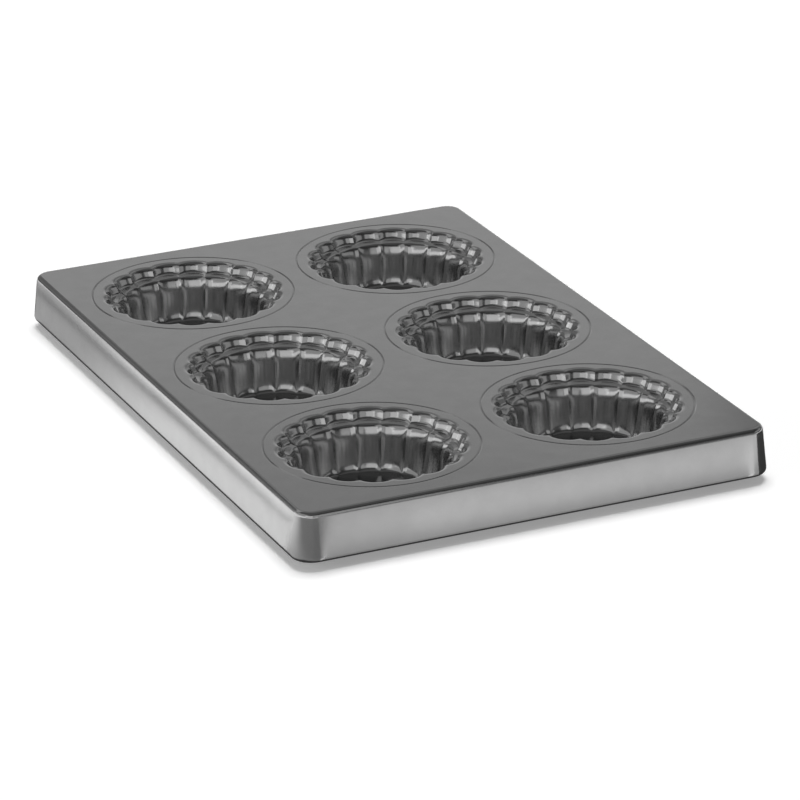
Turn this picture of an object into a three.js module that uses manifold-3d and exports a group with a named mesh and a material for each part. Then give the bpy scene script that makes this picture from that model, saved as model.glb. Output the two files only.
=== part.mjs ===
// A pocket pie pan: a drawn sheet deck with a flared skirt, and fluted two-tier cups hung in seats in the deck.
// Millimetres, +Z up. The origin is on the table under the middle of the pan, and the front is at -Y.
import * as THREE from 'three';
import { mergeVertices } from 'three/addons/utils/BufferGeometryUtils.js';
import Module from 'manifold-3d';

// Sheet thicknesses
const deckSheet = 0.9;
const cupSheet = 0.9;

// Cup, from the middle of its floor outwards and upwards, measured on its inner face at the hollow of a flute
const floorRadius = 33.6;
const floorFillet = 2.5;
const lowerHeight = 22.8;
const lowerLean = 3.7;
const ledgeWidth = 6.6;
const ledgeRise = 2.2;
const ledgeEdgeBreak = 3.0;
const upperHeight = 4.75;
const upperLean = 2.0;
const rimRound = 0.7;
const flangeWidth = 7.1;

// Flutes: scoops around both tiers of a cup, with a sharp ridge between each two
const flutesPerCup = 18;
const floorFluteDepth = 1.8;
const lowerFluteDepth = 2.2;
const upperFluteDepth = 2.8;

// Seat of a cup's flange in the deck, which holds the flange flush with the deck's top
const seatClearance = 0.3;
const brazeFilm = 0.1;
const openingClearance = 0.6;
const seatEdgeBreak = 0.7;

// Lay-out of the pockets on the deck, and how far the cups of each row are turned in their seats
const columnNames = ['left', 'right'];
const rowNames = ['front', 'middle', 'back'];
const rowTurnDegrees = [-1.5, 10.5, -2];
const webAcross = 11.5;
const webAlong = 9.0;
const borderAcross = 12.8;
const borderAlong = 12.6;

// Skirt
const cornerRadius = 7.0;
const deckEdgeInnerRadius = 1.6;
const skirtFlare = 3.3;
const skirtLift = 4.3;

// Hem rolled inwards around a wire at the bottom of the skirt
const wireDiameter = 2.6;
const wireClearance = 0.15;
const hemWrapDegrees = 280;

// Fineness of the facets
const pointsPerFlute = 4;
const seatSegments = 40;
const cornerSteps = 3;
const edgeSteps = 3;
const hemSteps = 8;
const wireSides = 8;

// Finishes
const coating = { color: 0x6f6f71, roughness: 0.35, metalness: 0.85 };
const bareSteel = { color: 0xa8a8a8, roughness: 0.4, metalness: 1.0 };

// Sizes that follow
const wallFootRadius = floorRadius + floorFillet;
const ledgeInnerRadius = wallFootRadius + lowerLean;
const ledgeOuterRadius = ledgeInnerRadius + ledgeWidth;
const rimRadius = ledgeOuterRadius + upperLean;
const flangeRadius = rimRadius + flangeWidth;
const floorHeight = cupSheet;
const ledgeInnerHeight = floorHeight + lowerHeight;
const ledgeOuterHeight = ledgeInnerHeight + ledgeRise;
const flangeHeight = ledgeOuterHeight + upperHeight;
const flangeUnderside = flangeHeight - cupSheet;

const deckTop = flangeHeight;
const seatHeight = flangeUnderside - brazeFilm;
const seatUnderside = seatHeight - deckSheet;
const seatRadius = flangeRadius + seatClearance;
const openingRadius = rimRadius + cupSheet + openingClearance;

const pitchAcross = 2 * seatRadius + webAcross;
const pitchAlong = 2 * seatRadius + webAlong;
const deckWidth = pitchAcross * (columnNames.length - 1) + 2 * (seatRadius + borderAcross);
const deckLength = pitchAlong * (rowNames.length - 1) + 2 * (seatRadius + borderAlong);

const skirtHeight = deckTop - skirtLift;
const skirtAngle = Math.atan2(skirtFlare, skirtHeight);
const deckEdgeRadius = deckEdgeInnerRadius + deckSheet;
const hemInnerRadius = wireDiameter / 2 + wireClearance;
const hemRadius = hemInnerRadius + deckSheet;

const wasm = await Module();
wasm.setup();

// A closed solid from a geometry: shared points are merged, and triangles shrunk to a line on an axis are left out.
function solidFrom(geometry) {
  const bare = geometry.clone();
  bare.deleteAttribute('normal');
  bare.deleteAttribute('uv');
  const merged = mergeVertices(bare);
  const corners = merged.index.array;
  const triVerts = [];
  for (let i = 0; i < corners.length; i += 3) {
    const [a, b, c] = corners.slice(i, i + 3);
    if (a !== b && b !== c && c !== a) triVerts.push(a, b, c);
  }
  const vertProperties = merged.attributes.position.array;
  const mesh = new wasm.Mesh({ numProp: 3, vertProperties, triVerts: new Uint32Array(triVerts) });
  return new wasm.Manifold(mesh);
}

function namedMesh(name, solid, finish) {
  const made = solid.getMesh();
  const geometry = new THREE.BufferGeometry();
  geometry.setAttribute('position', new THREE.BufferAttribute(made.vertProperties, 3));
  geometry.setIndex(new THREE.BufferAttribute(made.triVerts, 1));
  geometry.computeVertexNormals();
  const mesh = new THREE.Mesh(geometry, new THREE.MeshStandardMaterial(finish));
  mesh.name = name;
  return mesh;
}

// A solid of revolution about +Z, from [radius, height] points that run upwards on its outside.
function turned(profile, segments, startAngle = 0) {
  const points = profile.map(([radius, height]) => new THREE.Vector2(radius, height));
  return new THREE.LatheGeometry(points, segments, startAngle).rotateX(Math.PI / 2);
}

// The deck's outline moved outwards by a distance, as points counter-clockwise from above.
function planOutline(out) {
  const radius = cornerRadius + out;
  const cornerX = deckWidth / 2 - cornerRadius;
  const cornerY = deckLength / 2 - cornerRadius;
  const quarter = Math.PI / 2;
  const outline = new THREE.Path();
  outline.absarc(cornerX, cornerY, radius, 0, quarter);
  outline.absarc(-cornerX, cornerY, radius, quarter, 2 * quarter);
  outline.absarc(-cornerX, -cornerY, radius, 2 * quarter, 3 * quarter);
  outline.absarc(cornerX, -cornerY, radius, 3 * quarter, 4 * quarter);
  return outline.getPoints(cornerSteps);
}

// A section of [out, height] points, clockwise, carried around the deck's outline. An open section is closed by a
// flat face across the plan at its first point and another at its last.
function carriedAroundPlan(section, closed) {
  const rings = section.map(([out, height]) => planOutline(out).map((point) => [point.x, point.y, height]));
  const count = rings[0].length;
  const positions = rings.flat(2);
  const triangles = [];
  const bands = closed ? rings.length : rings.length - 1;
  for (let band = 0; band < bands; band += 1) {
    const here = band * count;
    const next = ((band + 1) % rings.length) * count;
    for (let k = 0; k < count; k += 1) {
      const after = (k + 1) % count;
      triangles.push(here + k, next + k, next + after);
      triangles.push(here + k, next + after, here + after);
    }
  }
  if (!closed) {
    const lastRing = (rings.length - 1) * count;
    for (let k = 1; k < count - 1; k += 1) {
      triangles.push(0, k, k + 1);
      triangles.push(lastRing, lastRing + k + 1, lastRing + k);
    }
  }
  const geometry = new THREE.BufferGeometry();
  geometry.setAttribute('position', new THREE.Float32BufferAttribute(positions, 3));
  geometry.setIndex(triangles);
  return geometry;
}

// Points on an arc in the section plane, from one angle to another.
function sectionArc([centreOut, centreHeight], radius, fromAngle, toAngle, steps) {
  const points = [];
  for (let step = 0; step <= steps; step += 1) {
    const angle = fromAngle + ((toAngle - fromAngle) * step) / steps;
    points.push([centreOut + radius * Math.cos(angle), centreHeight + radius * Math.sin(angle)]);
  }
  return points;
}

// Middle of the hem's roll: inside the skirt's outer face by the hem's radius, with the roll's lowest point at the
// bottom of the skirt.
function hemCentre() {
  const height = skirtLift + hemRadius;
  const out = ((deckTop - height) * Math.sin(skirtAngle) - hemRadius) / Math.cos(skirtAngle);
  return [out, height];
}

// Deck sheet: over the top edge, down the skirt, around the hem and back along the inside.
function deckSection() {
  const upright = Math.PI / 2;
  const hemEnd = skirtAngle - THREE.MathUtils.degToRad(hemWrapDegrees);
  const edgeTangent = deckEdgeRadius * Math.tan((upright - skirtAngle) / 2);
  const edgeCentre = [-edgeTangent, deckTop - deckEdgeRadius];
  return [
    ...sectionArc(edgeCentre, deckEdgeRadius, upright, skirtAngle, edgeSteps),
    ...sectionArc(hemCentre(), hemRadius, skirtAngle, hemEnd, hemSteps),
    ...sectionArc(hemCentre(), hemInnerRadius, hemEnd, skirtAngle, hemSteps),
    ...sectionArc(edgeCentre, deckEdgeInnerRadius, skirtAngle, upright, edgeSteps),
  ];
}

// Ring of deck sheet pressed down around an opening to carry a cup's flange.
function seatRing() {
  const outerRadius = seatRadius + deckSheet;
  const insideDeck = deckTop - deckSheet / 2;
  return turned([
    [openingRadius, insideDeck],
    [openingRadius, seatUnderside],
    [outerRadius, seatUnderside],
    [outerRadius, insideDeck],
    [openingRadius, insideDeck],
  ], seatSegments);
}

// What is taken out of the deck for a cup: the seat with its broken edge, and the opening below it.
function seatCutter() {
  const beyond = deckSheet;
  return turned([
    [0, seatUnderside - beyond],
    [openingRadius, seatUnderside - beyond],
    [openingRadius, seatHeight],
    [seatRadius, seatHeight],
    [seatRadius, deckTop - seatEdgeBreak],
    [seatRadius + seatEdgeBreak, deckTop],
    [seatRadius + seatEdgeBreak, deckTop + beyond],
    [0, deckTop + beyond],
  ], seatSegments);
}

function panDeck(places) {
  let deck = solidFrom(carriedAroundPlan(deckSection(), false));
  const ring = solidFrom(seatRing());
  const cutter = solidFrom(seatCutter());
  for (const { x, y } of places) {
    deck = deck.add(ring.translate(x, y, 0)).subtract(cutter.translate(x, y, 0));
  }
  return namedMesh('pan_deck', deck, coating);
}

function rimWire() {
  const section = sectionArc(hemCentre(), wireDiameter / 2, 0, -2 * Math.PI, wireSides).slice(0, wireSides);
  return namedMesh('rim_wire', solidFrom(carriedAroundPlan(section, true)), bareSteel);
}

// The two points that a section's corner becomes when it is broken towards its neighbours by a distance.
function brokenCorner(before, corner, after, distance) {
  return [before, after].map((neighbour) => {
    const share = distance / Math.hypot(neighbour[0] - corner[0], neighbour[1] - corner[1]);
    return corner.map((value, i) => value + (neighbour[i] - value) * share);
  });
}

// Cup sheet as [radius, height, flute depth] points: up the outside from the middle of the base, over the flange and
// down the inside to the middle of the floor.
function cupSection() {
  const wallFoot = [wallFootRadius, floorHeight + floorFillet, lowerFluteDepth];
  const ledgeInner = [ledgeInnerRadius, ledgeInnerHeight, lowerFluteDepth];
  const ledgeOuter = [ledgeOuterRadius, ledgeOuterHeight, upperFluteDepth];
  const ledgeEdge = brokenCorner(wallFoot, ledgeInner, ledgeOuter, ledgeEdgeBreak);
  return [
    [0, 0, 0],
    [floorRadius, 0, floorFluteDepth],
    [wallFootRadius + cupSheet, floorHeight + floorFillet, lowerFluteDepth],
    ...ledgeEdge.map(([radius, height, depth]) => [radius + cupSheet, height - cupSheet / 2, depth]),
    [ledgeOuterRadius + cupSheet, ledgeOuterHeight - cupSheet, upperFluteDepth],
    [rimRadius + cupSheet, flangeUnderside, upperFluteDepth],
    [flangeRadius, flangeUnderside, 0],
    [flangeRadius, flangeHeight, 0],
    [rimRadius + rimRound, flangeHeight, upperFluteDepth],
    [rimRadius, flangeHeight - rimRound, upperFluteDepth],
    ledgeOuter,
    ...ledgeEdge.reverse(),
    wallFoot,
    [floorRadius, floorHeight, floorFluteDepth],
    [0, floorHeight, 0],
  ];
}

// How far into a flute's depth the sheet stands at a fraction of the way from one ridge to the next.
function ridgeShare(fraction) {
  return (2 * fraction - 1) ** 2;
}

// A cup with its first ridge at the given turn from +X.
function fluted(turnDegrees) {
  const section = cupSection();
  const startAngle = THREE.MathUtils.degToRad(turnDegrees + 90);
  const geometry = turned(section, flutesPerCup * pointsPerFlute, startAngle);
  const position = geometry.attributes.position;
  for (let i = 0; i < position.count; i += 1) {
    const [radius, , fluteDepth] = section[i % section.length];
    const step = Math.floor(i / section.length) % pointsPerFlute;
    if (radius === 0) continue;
    const share = 1 - (fluteDepth * ridgeShare(step / pointsPerFlute)) / radius;
    position.setXY(i, position.getX(i) * share, position.getY(i) * share);
  }
  return solidFrom(geometry);
}

function pocketPlaces() {
  const places = [];
  rowNames.forEach((row, rowIndex) => {
    columnNames.forEach((column, columnIndex) => {
      places.push({
        name: `pocket_cup_${row}_${column}`,
        x: pitchAcross * (columnIndex - (columnNames.length - 1) / 2),
        y: pitchAlong * (rowIndex - (rowNames.length - 1) / 2),
        turn: rowTurnDegrees[rowIndex],
      });
    });
  });
  return places;
}

function pocketCup({ name, x, y, turn }) {
  const cup = namedMesh(name, fluted(turn), coating);
  cup.position.set(x, y, 0);
  return cup;
}

const pan = new THREE.Group();
const places = pocketPlaces();
pan.add(panDeck(places), rimWire(), ...places.map(pocketCup));

export default pan;
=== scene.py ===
import math

import bmesh
import bpy
from mathutils import Matrix, Vector


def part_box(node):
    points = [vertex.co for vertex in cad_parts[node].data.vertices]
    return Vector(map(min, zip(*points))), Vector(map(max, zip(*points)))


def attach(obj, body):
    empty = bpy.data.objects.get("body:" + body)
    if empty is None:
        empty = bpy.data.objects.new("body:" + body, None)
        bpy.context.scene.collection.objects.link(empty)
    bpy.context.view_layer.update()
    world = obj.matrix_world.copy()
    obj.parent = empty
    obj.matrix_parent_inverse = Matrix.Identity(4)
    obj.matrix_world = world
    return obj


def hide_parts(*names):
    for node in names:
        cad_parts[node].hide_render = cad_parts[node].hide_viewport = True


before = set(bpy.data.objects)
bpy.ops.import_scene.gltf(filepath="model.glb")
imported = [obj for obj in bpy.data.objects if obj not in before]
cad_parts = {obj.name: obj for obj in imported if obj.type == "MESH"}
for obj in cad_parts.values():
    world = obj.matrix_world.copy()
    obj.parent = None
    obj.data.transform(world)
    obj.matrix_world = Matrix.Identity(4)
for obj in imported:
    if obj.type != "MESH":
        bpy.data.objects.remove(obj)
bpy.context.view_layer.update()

MM = 0.001

# Sheet of the deck and of the cups
DECK_SHEET = 0.9 * MM
CUP_SHEET = 0.9 * MM

# Deck edge, skirt and rolled hem, with the hem's wrap in degrees
CORNER_RADIUS = 9.0 * MM
DECK_EDGE_RADIUS = 2.9 * MM
SKIRT_FLARE = 2.7 * MM
HEM_RADIUS = 2.35 * MM
HEM_WRAP = 280

# Inner face of a cup in the hollow of a flute, with each rounding's reach before and after its corner
FLOOR_RADIUS = 36.0 * MM
LEDGE_INNER_RADIUS = 40.3 * MM
LEDGE_OUTER_RADIUS = 46.4 * MM
RIM_RADIUS = 48.77 * MM
FLANGE_RADIUS = 55.75 * MM
LEDGE_INNER_HEIGHT = 24.1 * MM
LEDGE_OUTER_HEIGHT = 25.5 * MM
FLOOR_ROUND = (2.5 * MM, 12.0 * MM)
LEDGE_EDGE_ROUND = (7.5 * MM, 2.2 * MM)
LEDGE_FOOT_ROUND = (1.2 * MM, 1.2 * MM)
RIM_ROUND = (2.3 * MM, 2.3 * MM)
FLANGE_EDGE_ROUND = (0.1 * MM, 0.1 * MM)
LEAST_ROUND = 0.2 * MM

# Flutes of a cup, with depths as shares of the radius and the turn of each row's cups in degrees
FLUTES = 18
LOWER_FLUTE_SHARE = 0.033
UPPER_FLUTE_SHARE = 0.06
RIDGE_SHARPNESS = 0.93
LOWER_RIDGE_NARROWNESS = 0.8
UPPER_RIDGE_NARROWNESS = 0.25
BROAD_POWER = 2
NARROW_POWER = 6
FLUTES_START = (29 * MM, 34 * MM)
FLUTES_END = (50 * MM, 53 * MM)
ROW_TURN = {"front": -1.5, "middle": 10.5, "back": -2.0}

# Seat of a cup's flange in the deck
SEAT_RADIUS = 55.8 * MM
SEAM_HALF_WIDTH = 0.65 * MM
SEAM_DEPTH = 0.3 * MM
OPENING_RADIUS = 49.9 * MM
BRAZE_FILM = 0.1 * MM

# Fineness of the meshes
CORNER_STEPS = 20
DECK_EDGE_STEPS = 14
DECK_UNDER_EDGE_STEPS = 8
HEM_STEPS = 26
HEM_INSIDE_STEPS = 20
SEAT_STEPS = 144
SEAM_STEPS = 10
ROUND_STEPS = 10
STEPS_PER_FLUTE = 16

# A point this far inside each end of a straight stretch keeps the shading flat between them
HOLD = 0.3 * MM

# Points of the deck and of a cup that are closer than this are joined
DECK_SAME_PLACE = 0.01 * MM
CUP_SAME_PLACE = 0.005 * MM

# Edges bent by more degrees than this look sharp
SHARP_ANGLE = 40

# Coating and wire: grey levels, roughness, and the scale and detail of each noise
COATING_GREYS = (0.445, 0.475)
COATING_ROUGHNESS = 0.15
ROUGHNESS_SPREAD = 0.03
COATING_MOTTLE = (90, 4)
COATING_GLOSS = (700, 3)
COATING_GRAIN = (2400, 2)
GRAIN_HEIGHT = 0.004 * MM
GRAIN_STRENGTH = 0.5
WIRE_GREYS = (0.5, 0.6)
WIRE_ROUGHNESS = 0.38
WIRE_MOTTLE = (400, 3)
MOTTLE_ENDS = (0.3, 0.7)

# White table: what it reflects, and the light that it gives off towards the camera and the metal besides
TABLE_REACH = 6
TABLE_WHITE = 0.86
TABLE_ROUGHNESS = 0.9
TABLE_GLOW = 0.28

# Brightness of the room by the sine of the elevation
ROOM_STOPS = [(0.0, 0.21), (0.2, 0.17), (0.5, 0.05), (0.75, 0.05), (0.9, 0.12)]

# Lamps that only reflections show, from windows on the left to a dim backdrop
METAL_LAMPS = [
    # name, degrees round the pan from its front, elevation, distance, width, height, brightness
    ("window_front", -33, 20, 1.5, 1.03, 0.84, 0.74),
    ("window_left", -81, 10.5, 1.5, 1.7, 0.53, 0.92),
    ("window_side", -125, 11, 1.5, 0.8, 0.6, 0.92),
    ("window_veil", -81, 37, 1.5, 1.7, 0.9, 0.38),
    ("window_high", -155, 47, 1.5, 1.0, 0.5, 0.41),
    ("fill_back", -162, 24, 1.5, 0.9, 0.5, 0.11),
    ("fill_left", -131, 34, 1.5, 0.84, 0.52, 0.17),
    ("fill_front", 5, 22, 1.5, 0.75, 0.8, 0.41),
    ("fill_right", 66, 22, 1.5, 1.3, 0.45, 0.28),
    ("fill_far", 112, 37, 2.0, 1.5, 1.0, 0.12),
    ("backdrop", 145, 9.4, 2.5, 3.0, 1.4, 0.178),
    ("backdrop_core", 158.6, 10.9, 2.6, 1.0, 1.7, 0.178),
    ("overhead", 150, 49, 2.0, 2.0, 1.5, 0.19),
]

# Lamps that light the table and don't show in the metal, in the same columns
TABLE_LAMPS = [
    ("table_lamp", 150, 80, 6.0, 3.2, 3.2, 9.5),
    ("table_side", -90, 20, 3.0, 2.0, 1.0, 2.5),
]

# Glowing cards on the table that only reflections show, painted light and shade for the metal: heights in
# millimetres where they lie over one another
LOW_CARD = 0.2
MIDDLE_CARD = 0.25
TOP_CARD = 0.3
# Dark base colour of those cards, under the glow that paints their light or shade
CARD_GREY = 0.02

# Camera at the photograph's viewing angle
CAMERA_PLACE = Vector((-0.9392, -2.0989, 0.9359))
CAMERA_HEADING = -24.31
CAMERA_ELEVATION = 22.16
CAMERA_ROLL = -0.65
CAMERA_LENS = 207.15
CAMERA_SENSOR = 36
CAMERA_REACH = 100

# Places taken from the frame
deck_low, deck_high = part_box("pan_deck")
cup_names = sorted(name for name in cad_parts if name.startswith("pocket_cup_"))
DECK_TOP = deck_high.z
SKIRT_BOTTOM = deck_low.z
FLANGE_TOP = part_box(cup_names[0])[1].z
SKIRT_ANGLE = math.degrees(math.atan2(SKIRT_FLARE, DECK_TOP - SKIRT_BOTTOM))


def middle_of(node):
    """The spot on the table under the middle of a node."""
    low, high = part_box(node)
    return Vector(((low.x + high.x) / 2, (low.y + high.y) / 2, 0))


# Sections


def arc(centre, radius, start, end, steps):
    """Points on an arc of a section, from one angle to another in degrees."""
    angles = [math.radians(start + (end - start) * step / steps) for step in range(steps + 1)]
    return [centre + radius * Vector((math.cos(angle), math.sin(angle))) for angle in angles]


def held(start, end):
    """Two points just inside the ends of a straight stretch of a section."""
    along = (end - start).normalized() * HOLD
    return [start + along, end - along]


def rounded(corners):
    """A section through corners of (out, height, before, after), rounded off between those distances."""
    points = [Vector(corners[0][:2])]
    for before, corner, after in zip(corners, corners[1:], corners[2:]):
        here = Vector(corner[:2])
        start = here + (Vector(before[:2]) - here).normalized() * corner[2]
        end = here + (Vector(after[:2]) - here).normalized() * corner[3]
        points += held(points[-1], start)
        for step in range(ROUND_STEPS + 1):
            along = step / ROUND_STEPS
            points.append(start.lerp(here, along).lerp(here.lerp(end, along), along))
    end = Vector(corners[-1][:2])
    return points + held(points[-1], end) + [end]


def moved_sideways(corners, distance):
    """The corners of a section moved across it by a sheet's thickness, with their rounding to suit."""
    spots = [Vector(corner[:2]) for corner in corners]
    normals = [(b - a).normalized().orthogonal() for a, b in zip(spots, spots[1:])]
    result = []
    for index, corner in enumerate(corners):
        before = normals[max(index - 1, 0)]
        after = normals[min(index, len(normals) - 1)]
        shift = (before + after) * distance / (1 + before.dot(after))
        growth = distance * math.tan(before.angle_signed(after) / 2)
        reach = [max(length + growth, LEAST_ROUND) for length in corner[2:]]
        result.append((*(spots[index] + shift), *reach))
    return result


def smooth_share(value, low, high):
    """How far a value is from low (0) to high (1), eased at both ends."""
    along = min(max((value - low) / (high - low), 0), 1)
    return along * along * (3 - 2 * along)


def soft_fall(start, end):
    """A soft S from one point of a section to another, level at both ends."""
    points = []
    for step in range(SEAM_STEPS + 1):
        along = step / SEAM_STEPS
        fall = smooth_share(along, 0, 1)
        points.append(Vector((start.x + (end.x - start.x) * along, start.y + (end.y - start.y) * fall)))
    return points


# Meshes and pieces


def chain(bm, points):
    """Joins points into a row of edges and returns its vertices and edges."""
    spots = [bm.verts.new(point) for point in points]
    return spots + [bm.edges.new(pair) for pair in zip(spots, spots[1:])]


def finished_mesh(name, bm):
    """Turns a bmesh into a mesh and frees it."""
    mesh = bpy.data.meshes.new(name)
    bm.to_mesh(mesh)
    bm.free()
    return mesh


def add_object(name, data):
    """A new object in the scene."""
    thing = bpy.data.objects.new(name, data)
    bpy.context.scene.collection.objects.link(thing)
    return thing


def new_piece(name, bm, node, material):
    """Turns a finished bmesh into a piece that stands for a node of the frame."""
    mesh = finished_mesh(name, bm)
    mesh.set_sharp_from_angle(angle=math.radians(SHARP_ANGLE))
    mesh.materials.append(material)
    piece = add_object(name, mesh)
    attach(piece, "root")
    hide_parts(node)


# Deck


def edge_centre():
    """Middle of the rounding between the deck's top and the skirt."""
    tangent = DECK_EDGE_RADIUS * math.tan(math.radians(90 - SKIRT_ANGLE) / 2)
    return Vector((-tangent, DECK_TOP - DECK_EDGE_RADIUS))


def hem_centre():
    """Middle of the hem's roll, inside the skirt's outer face."""
    lean = math.radians(SKIRT_ANGLE)
    height = SKIRT_BOTTOM + HEM_RADIUS
    out = ((DECK_TOP - height) * math.sin(lean) - HEM_RADIUS) / math.cos(lean)
    return Vector((out, height))


def deck_section():
    """Over the deck's edge, down the skirt, round the hem and back up the inside, as (out, height)."""
    hem_end = SKIRT_ANGLE - HEM_WRAP
    inner_edge_radius = DECK_EDGE_RADIUS - DECK_SHEET
    over_edge = arc(edge_centre(), DECK_EDGE_RADIUS, 90, SKIRT_ANGLE, DECK_EDGE_STEPS)
    round_hem = arc(hem_centre(), HEM_RADIUS, SKIRT_ANGLE, hem_end, HEM_STEPS)
    inside_hem = arc(hem_centre(), HEM_RADIUS - DECK_SHEET, hem_end, SKIRT_ANGLE, HEM_INSIDE_STEPS)
    under_edge = arc(edge_centre(), inner_edge_radius, SKIRT_ANGLE, 90, DECK_UNDER_EDGE_STEPS)
    inwards = Vector((-HOLD, 0))
    return [
        over_edge[0] + inwards,
        *over_edge,
        *held(over_edge[-1], round_hem[0]),
        *round_hem,
        *inside_hem,
        *held(inside_hem[-1], under_edge[0]),
        *under_edge,
        under_edge[-1] + inwards,
    ]


def pull(bm, rail, step):
    """Pulls a row of edges along by a step and returns the new row."""
    edges = [part for part in rail if isinstance(part, bmesh.types.BMEdge)]
    pulled = bmesh.ops.extrude_edge_only(bm, edges=edges)["geom"]
    spots = [part for part in pulled if isinstance(part, bmesh.types.BMVert)]
    fresh = set(spots)
    bmesh.ops.translate(bm, vec=step, verts=spots)
    return spots + [
        part for part in pulled if isinstance(part, bmesh.types.BMEdge) and fresh.issuperset(part.verts)
    ]


def carry_around_deck(bm, section):
    """Spins the section round each corner of the deck and pulls it along each side."""
    widest = max(point.x for point in section)
    corner = Vector((deck_high.x - widest - CORNER_RADIUS, deck_high.y - widest - CORNER_RADIUS))
    start = Vector((corner.x, -corner.y - CORNER_RADIUS))
    rail = chain(bm, [(start.x, start.y - point.x, point.y) for point in section])
    turns = [
        (Vector((corner.x, -corner.y, 0)), Vector((0, 2 * corner.y, 0))),
        (Vector((corner.x, corner.y, 0)), Vector((-2 * corner.x, 0, 0))),
        (Vector((-corner.x, corner.y, 0)), Vector((0, -2 * corner.y, 0))),
        (Vector((-corner.x, -corner.y, 0)), Vector((2 * corner.x, 0, 0))),
    ]
    for centre, run in turns:
        turned = bmesh.ops.spin(
            bm, geom=rail, cent=centre, axis=(0, 0, 1), angle=math.pi / 2, steps=CORNER_STEPS
        )
        rail = turned["geom_last"]
        hold = run.normalized() * HOLD
        for step in (hold, run - 2 * hold, hold):
            rail = pull(bm, rail, step)
    bmesh.ops.remove_doubles(bm, verts=bm.verts, dist=DECK_SAME_PLACE)


def seat_section():
    """Soft edge of the deck around a cup, the seat under its flange, and back to the deck's underside."""
    seat_height = FLANGE_TOP - CUP_SHEET - BRAZE_FILM
    outer_radius = SEAT_RADIUS + DECK_SHEET
    edge_start = Vector((SEAT_RADIUS + SEAM_HALF_WIDTH, DECK_TOP))
    edge_end = Vector((SEAT_RADIUS, DECK_TOP - SEAM_DEPTH))
    return [
        edge_start + Vector((HOLD, 0)),
        *soft_fall(edge_start, edge_end),
        Vector((SEAT_RADIUS, seat_height)),
        Vector((OPENING_RADIUS, seat_height)),
        Vector((OPENING_RADIUS, seat_height - DECK_SHEET)),
        Vector((outer_radius, seat_height - DECK_SHEET)),
        Vector((outer_radius, DECK_TOP - DECK_SHEET)),
    ]


def fill_flat(bm, height):
    """Fills the deck between its edge and its openings at one height, and returns the new faces."""
    edges = [
        edge
        for edge in bm.edges
        if edge.is_boundary and all(abs(vert.co.z - height) < DECK_SAME_PLACE for vert in edge.verts)
    ]
    filled = bmesh.ops.triangle_fill(bm, use_beauty=True, edges=edges)["geom"]
    return [part for part in filled if isinstance(part, bmesh.types.BMFace)]


def pan_deck(material):
    """The top sheet with its skirt, hem and seats, shaded flat only on its flats."""
    bm = bmesh.new()
    carry_around_deck(bm, deck_section())
    for node in cup_names:
        centre = middle_of(node)
        rail = chain(bm, [centre + Vector((point.x, 0, point.y)) for point in seat_section()])
        bmesh.ops.spin(
            bm, geom=rail, cent=centre, axis=(0, 0, 1), angle=math.tau, steps=SEAT_STEPS, use_merge=True
        )
    flats = fill_flat(bm, DECK_TOP) + fill_flat(bm, DECK_TOP - DECK_SHEET)
    bmesh.ops.recalc_face_normals(bm, faces=bm.faces)
    for face in bm.faces:
        face.smooth = True
    for face in flats:
        face.smooth = False
    new_piece("deck_sheet", bm, "pan_deck", material)


# Cups


def cup_section():
    """Up the outside of a cup from the middle of its base, over the flange, and down the inside."""
    inside = [
        (0, CUP_SHEET, 0, 0),
        (FLOOR_RADIUS, CUP_SHEET, *FLOOR_ROUND),
        (LEDGE_INNER_RADIUS, LEDGE_INNER_HEIGHT, *LEDGE_EDGE_ROUND),
        (LEDGE_OUTER_RADIUS, LEDGE_OUTER_HEIGHT, *LEDGE_FOOT_ROUND),
        (RIM_RADIUS, FLANGE_TOP, *RIM_ROUND),
        (FLANGE_RADIUS - SEAM_HALF_WIDTH, FLANGE_TOP, 0, 0),
    ]
    outside = moved_sideways(inside, -CUP_SHEET)
    outside[-1] = (FLANGE_RADIUS, FLANGE_TOP - CUP_SHEET, *FLANGE_EDGE_ROUND)
    seam = Vector((FLANGE_RADIUS, FLANGE_TOP - SEAM_DEPTH))
    flange = Vector((FLANGE_RADIUS - SEAM_HALF_WIDTH, FLANGE_TOP))
    edge = soft_fall(flange, seam)[::-1]
    return rounded(outside + [(*seam, 0, 0)]) + edge[1:-1] + rounded(inside)[::-1]


def mixed_rise(away, narrowness):
    """A mix of a broad and a narrow curve, both from 0 in the hollow to 1 at the ridge."""
    return (1 - narrowness) * away**BROAD_POWER + narrowness * away**NARROW_POWER


def mixed_slope(away, narrowness):
    """Slope of that mix."""
    broad = BROAD_POWER * (1 - narrowness) * away ** (BROAD_POWER - 1)
    return broad + NARROW_POWER * narrowness * away ** (NARROW_POWER - 1)


def ridge_height(fraction, narrowness):
    """How far the sheet has risen from the hollow, by the fraction of the way between two ridges.

    Past the sharpness it bends over until it is level, so that the ridge has a round top.
    """
    away = min(abs(2 * fraction - 1), 1)
    if away <= RIDGE_SHARPNESS:
        return mixed_rise(away, narrowness)
    past = (away - RIDGE_SHARPNESS) / (1 - RIDGE_SHARPNESS)
    slope = mixed_slope(RIDGE_SHARPNESS, narrowness)
    return mixed_rise(RIDGE_SHARPNESS, narrowness) + slope * (1 - RIDGE_SHARPNESS) * (past - past * past / 2)


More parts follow.
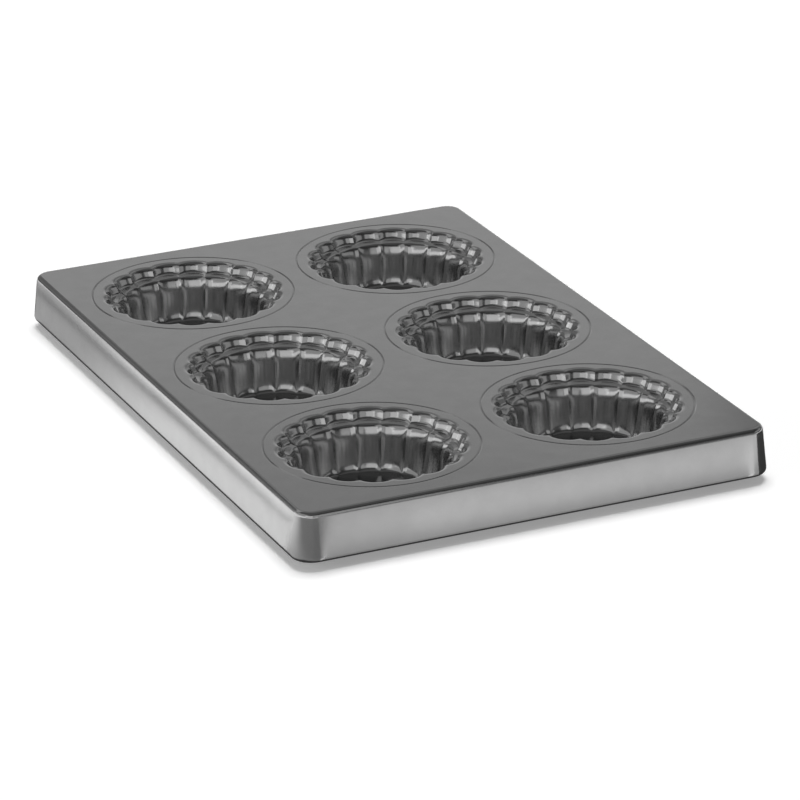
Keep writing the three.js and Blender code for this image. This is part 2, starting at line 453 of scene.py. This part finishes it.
def press_flutes(bm):
    """Pushes the ridges between the flutes in towards the cup's middle."""
    pitch = 360 / FLUTES
    for vert in bm.verts:
        out = vert.co.xy.length
        if out < FLUTES_START[0]:
            continue
        turn = math.degrees(math.atan2(vert.co.y, vert.co.x))
        upper = smooth_share(out, LEDGE_INNER_RADIUS, LEDGE_OUTER_RADIUS)
        share = LOWER_FLUTE_SHARE + (UPPER_FLUTE_SHARE - LOWER_FLUTE_SHARE) * upper
        depth = share * smooth_share(out, *FLUTES_START) * (1 - smooth_share(out, *FLUTES_END))
        narrowness = LOWER_RIDGE_NARROWNESS + (UPPER_RIDGE_NARROWNESS - LOWER_RIDGE_NARROWNESS) * upper
        vert.co.xy *= 1 - depth * ridge_height((turn / pitch) % 1, narrowness)


def cup_form():
    """One cup standing on the origin, with the middle of a ridge on the X axis."""
    bm = bmesh.new()
    rail = chain(bm, [(point.x, 0, point.y) for point in cup_section()])
    steps = FLUTES * STEPS_PER_FLUTE
    bmesh.ops.spin(bm, geom=rail, axis=(0, 0, 1), angle=math.tau, steps=steps, use_merge=True)
    bmesh.ops.remove_doubles(bm, verts=bm.verts, dist=CUP_SAME_PLACE)
    press_flutes(bm)
    bmesh.ops.recalc_face_normals(bm, faces=bm.faces)
    for face in bm.faces:
        face.smooth = True
    return bm


def pocket_cup(node, form, material):
    """A copy of the cup's form at a node's place, turned as the cups of its row are."""
    row = node.split("_")[2]
    bm = form.copy()
    turn = Matrix.Rotation(math.radians(ROW_TURN[row]), 3, "Z")
    bmesh.ops.rotate(bm, matrix=turn, verts=bm.verts)
    bmesh.ops.translate(bm, vec=middle_of(node), verts=bm.verts)
    new_piece(node.replace("pocket_cup", "fluted_cup"), bm, node, material)


# Materials


def new_material(name):
    """A new material, its node tree and its shader."""
    material = bpy.data.materials.new(name)
    material.use_nodes = True
    tree = material.node_tree
    return material, tree, tree.nodes["Principled BSDF"]


def grey(level):
    """A grey colour."""
    return (level, level, level, 1)


def link(tree, source, output, target, entry):
    """Joins a node's output to another node's input."""
    tree.links.new(source.outputs[output], target.inputs[entry])


def grain(tree, coordinates, scale, detail):
    """Noise in the object's own coordinates."""
    noise = tree.nodes.new("ShaderNodeTexNoise")
    noise.inputs["Scale"].default_value = scale
    noise.inputs["Detail"].default_value = detail
    link(tree, coordinates, "Object", noise, "Vector")
    return noise


def mottle(tree, coordinates, noise_form, greys):
    """Two grey levels blended by a noise."""
    noise = grain(tree, coordinates, *noise_form)
    ramp = tree.nodes.new("ShaderNodeValToRGB")
    for element, level, position in zip(ramp.color_ramp.elements, greys, MOTTLE_ENDS):
        element.position = position
        element.color = grey(level)
    link(tree, noise, "Fac", ramp, "Fac")
    return ramp


def coated_metal(name):
    """Grey metallic non-stick coating: a faint mottle, an uneven gloss and a fine grain."""
    material, tree, shader = new_material(name)
    shader.inputs["Metallic"].default_value = 1.0
    coordinates = tree.nodes.new("ShaderNodeTexCoord")
    link(tree, mottle(tree, coordinates, COATING_MOTTLE, COATING_GREYS), "Color", shader, "Base Color")
    gloss = tree.nodes.new("ShaderNodeMapRange")
    gloss.inputs["To Min"].default_value = COATING_ROUGHNESS - ROUGHNESS_SPREAD
    gloss.inputs["To Max"].default_value = COATING_ROUGHNESS + ROUGHNESS_SPREAD
    link(tree, grain(tree, coordinates, *COATING_GLOSS), "Fac", gloss, "Value")
    link(tree, gloss, "Result", shader, "Roughness")
    bump = tree.nodes.new("ShaderNodeBump")
    bump.inputs["Strength"].default_value = GRAIN_STRENGTH
    bump.inputs["Distance"].default_value = GRAIN_HEIGHT
    link(tree, grain(tree, coordinates, *COATING_GRAIN), "Fac", bump, "Height")
    link(tree, bump, "Normal", shader, "Normal")
    return material


def drawn_wire():
    """Plain drawn steel with a faint mottle."""
    material, tree, shader = new_material("drawn_wire")
    shader.inputs["Metallic"].default_value = 1.0
    shader.inputs["Roughness"].default_value = WIRE_ROUGHNESS
    coordinates = tree.nodes.new("ShaderNodeTexCoord")
    link(tree, mottle(tree, coordinates, WIRE_MOTTLE, WIRE_GREYS), "Color", shader, "Base Color")
    return material


def dress_wire():
    """Gives the frame's own wire its material and slot."""
    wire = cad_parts["rim_wire"]
    wire.data.materials.clear()
    wire.data.materials.append(drawn_wire())


# Stage


def white_table():
    """Matt white that also gives off some light towards the camera and the metal."""
    material, tree, shader = new_material("white_table")
    shader.inputs["Base Color"].default_value = grey(TABLE_WHITE)
    shader.inputs["Roughness"].default_value = TABLE_ROUGHNESS
    shader.inputs["Emission Color"].default_value = grey(1)
    rays = tree.nodes.new("ShaderNodeLightPath")
    seen = tree.nodes.new("ShaderNodeMath")
    seen.operation = "MAXIMUM"
    link(tree, rays, "Is Camera Ray", seen, 0)
    link(tree, rays, "Is Glossy Ray", seen, 1)
    glow = tree.nodes.new("ShaderNodeMath")
    glow.operation = "MULTIPLY"
    glow.inputs[1].default_value = TABLE_GLOW
    link(tree, seen, "Value", glow, 0)
    link(tree, glow, "Value", shader, "Emission Strength")
    return material


def table_top():
    """A wide flat table."""
    bm = bmesh.new()
    bmesh.ops.create_grid(bm, x_segments=1, y_segments=1, size=TABLE_REACH)
    mesh = finished_mesh("table_top", bm)
    mesh.materials.append(white_table())
    floor = add_object("table_top", mesh)


def studio_world():
    """Some light near the horizon, darkness above it, and a little light again straight overhead."""
    world = bpy.data.worlds.new("studio")
    world.use_nodes = True
    tree = world.node_tree
    background = tree.nodes["Background"]
    coordinates = tree.nodes.new("ShaderNodeTexCoord")
    parts = tree.nodes.new("ShaderNodeSeparateXYZ")
    link(tree, coordinates, "Generated", parts, "Vector")
    ramp = tree.nodes.new("ShaderNodeValToRGB")
    elements = ramp.color_ramp.elements
    while len(elements) < len(ROOM_STOPS):
        elements.new(0.5)
    for element, (position, level) in zip(elements, ROOM_STOPS):
        element.position = position
        element.color = grey(level)
    link(tree, parts, "Z", ramp, "Fac")
    link(tree, ramp, "Color", background, "Color")
    bpy.context.scene.world = world


def softbox(name, azimuth, elevation, distance, width, height, brightness, lights_metal):
    """A soft rectangular lamp aimed at the pan, placed by its direction from the pan in degrees."""
    lamp = bpy.data.lights.new(name, "AREA")
    lamp.shape = "RECTANGLE"
    lamp.size = width
    lamp.size_y = height
    lamp.energy = brightness * math.pi * width * height
    rig = add_object(name, lamp)
    heading = Matrix.Rotation(math.radians(azimuth), 4, "Z")
    tilt = Matrix.Rotation(math.radians(90 - elevation), 4, "X")
    rig.matrix_world = heading @ tilt @ Matrix.Translation((0, 0, distance))
    rig.visible_glossy = lights_metal
    rig.visible_diffuse = not lights_metal


def lamps():
    """All lamps of the studio."""
    for lamp in METAL_LAMPS:
        softbox(*lamp, lights_metal=True)
    for lamp in TABLE_LAMPS:
        softbox(*lamp, lights_metal=False)


def glowing_card(name, level, fade):
    """A glowing surface that paints light or shade for the metal to reflect. A fade of (start, end, last
    level) along Y, in mm, takes it to the last level.
    """
    material, tree, shader = new_material(name)
    shader.inputs["Base Color"].default_value = grey(CARD_GREY)
    shader.inputs["Emission Color"].default_value = grey(1)
    shader.inputs["Emission Strength"].default_value = level
    if fade:
        start, end, last_level = fade
        coordinates = tree.nodes.new("ShaderNodeTexCoord")
        parts = tree.nodes.new("ShaderNodeSeparateXYZ")
        link(tree, coordinates, "Object", parts, "Vector")
        blend = tree.nodes.new("ShaderNodeMapRange")
        blend.interpolation_type = "SMOOTHSTEP"
        blend.inputs["From Min"].default_value = start * MM
        blend.inputs["From Max"].default_value = end * MM
        blend.inputs["To Min"].default_value = level
        blend.inputs["To Max"].default_value = last_level
        link(tree, parts, "Y", blend, "Value")
        link(tree, blend, "Result", shader, "Emission Strength")
    return material


def table_card(name, outline, height, level, fade=None):
    """A glowing card just above the table that only the metal sees, a painted patch of reflected light or
    shade, with an outline of (x, y) in mm.
    """
    bm = bmesh.new()
    bm.faces.new([bm.verts.new(Vector((x, y, height)) * MM) for x, y in outline])
    bmesh.ops.recalc_face_normals(bm, faces=bm.faces)
    mesh = finished_mesh(name, bm)
    mesh.materials.append(glowing_card(name, level, fade))
    card = add_object(name, mesh)
    card.visible_camera = False
    card.visible_diffuse = False
    card.visible_shadow = False


def shade_underneath():
    """Painted shadow under the pan, a dark card that only reflections show."""
    under = [(-141, -196), (134, -196), (134, 192), (-141, 192)]
    table_card("painted_shadow_under", under, TOP_CARD, level=0.05)


def shade_left_skirt():
    """Painted reflections for the left skirt: two bright glowing bands along the left side, both dimming
    towards the back, with a painted dark shadow line between them.
    """
    line_inner = [(-161.0, -119), (-159.8, 50), (-161.0, 330)]
    line_outer = [(-164.5, 330), (-165.6, 50), (-163.2, -116)]
    band = [(-134, -170), (-134, 330)] + line_inner[::-1]
    far_band = line_outer[::-1] + [(-240, 330), (-240, 38)]
    table_card("painted_light_side_band", band, LOW_CARD, level=1.11, fade=(10, 165, 0.56))
    table_card("painted_shadow_line", line_inner + line_outer, LOW_CARD, level=0.02)
    table_card("painted_light_far_band", far_band, LOW_CARD, level=1.34, fade=(90, 240, 0.7))


def shade_front_skirt():
    """Painted reflections for the front skirt: a glowing band along the front with painted shade towards the
    pan and far from it, and a painted shadow at the turn to the left side.
    """
    band = [(-118, -196), (130, -196), (242, -290), (-77, -290)]
    far = [(-77, -290), (242, -290), (2000, -2000), (500, -2000)]
    left_end = [(-118, -196), (-80, -196), (-25, -290), (-77, -290)]
    corner = [(-120, -196), (-25, -408), (-420, -420), (-420, 400), (-176, -90), (-136, -170)]
    table_card("painted_front_band", band, LOW_CARD, level=0.89, fade=(-262, -205, 0.46))
    table_card("painted_far_shade", far, LOW_CARD, level=0.25, fade=(-345, -290, 0.89))
    table_card("painted_front_left_band", left_end, MIDDLE_CARD, level=0.78, fade=(-262, -205, 0.42))
    table_card("painted_corner_shadow", corner, LOW_CARD, level=0.17, fade=(-228, -90, 1.07))


def shade_right_end():
    """Painted reflections at the right end: a thin painted highlight streak near the right end of the front,
    then painted shade at the dark turn and along the dark right side.
    """
    streak = [(121.8, -197), (124.2, -197), (182.6, -310), (180.2, -310)]
    turn = [(130, -195), (242, -290), (300, -250), (300, -30), (140, -30), (136, -180)]
    edge = [(136, -110), (180, -110), (180, 300), (136, 300)]
    table_card("painted_highlight_streak", streak, MIDDLE_CARD, level=1.35)
    # Painted shade at the turn to the right side, seen only in reflections
    table_card("right_card", turn, LOW_CARD, level=0.025, fade=(-110, -30, 1.0))
    table_card("painted_right_edge_shade", edge, MIDDLE_CARD, level=0.025)


def shade_back():
    """Painted shadow seen only in reflections: a dark wedge behind the back left corner."""
    wedge = [(-131, 198), (-186, 330), (-57, 330), (-100, 230)]
    table_card("painted_back_shadow", wedge, LOW_CARD, level=0.04, fade=(240, 330, 1.0))


def camera():
    """The camera that the pan is seen through."""
    lens = bpy.data.cameras.new("camera")
    lens.lens = CAMERA_LENS
    lens.sensor_width = CAMERA_SENSOR
    lens.clip_end = CAMERA_REACH
    body = add_object("camera", lens)
    heading = Matrix.Rotation(math.radians(CAMERA_HEADING), 4, "Z")
    tilt = Matrix.Rotation(math.radians(90 - CAMERA_ELEVATION), 4, "X")
    roll = Matrix.Rotation(math.radians(CAMERA_ROLL), 4, "Z")
    body.matrix_world = Matrix.Translation(CAMERA_PLACE) @ heading @ tilt @ roll
    bpy.context.scene.camera = body


# The studio
camera()
table_top()
studio_world()
lamps()
shade_underneath()
shade_left_skirt()
shade_front_skirt()
shade_right_end()
shade_back()
bpy.context.scene.view_settings.view_transform = "Standard"

# The pan
pan_deck(coated_metal("deck_coating"))
cup_coating = coated_metal("cup_coating")
cup = cup_form()
for cup_node in cup_names:
    pocket_cup(cup_node, cup, cup_coating)
cup.free()
dress_wire()
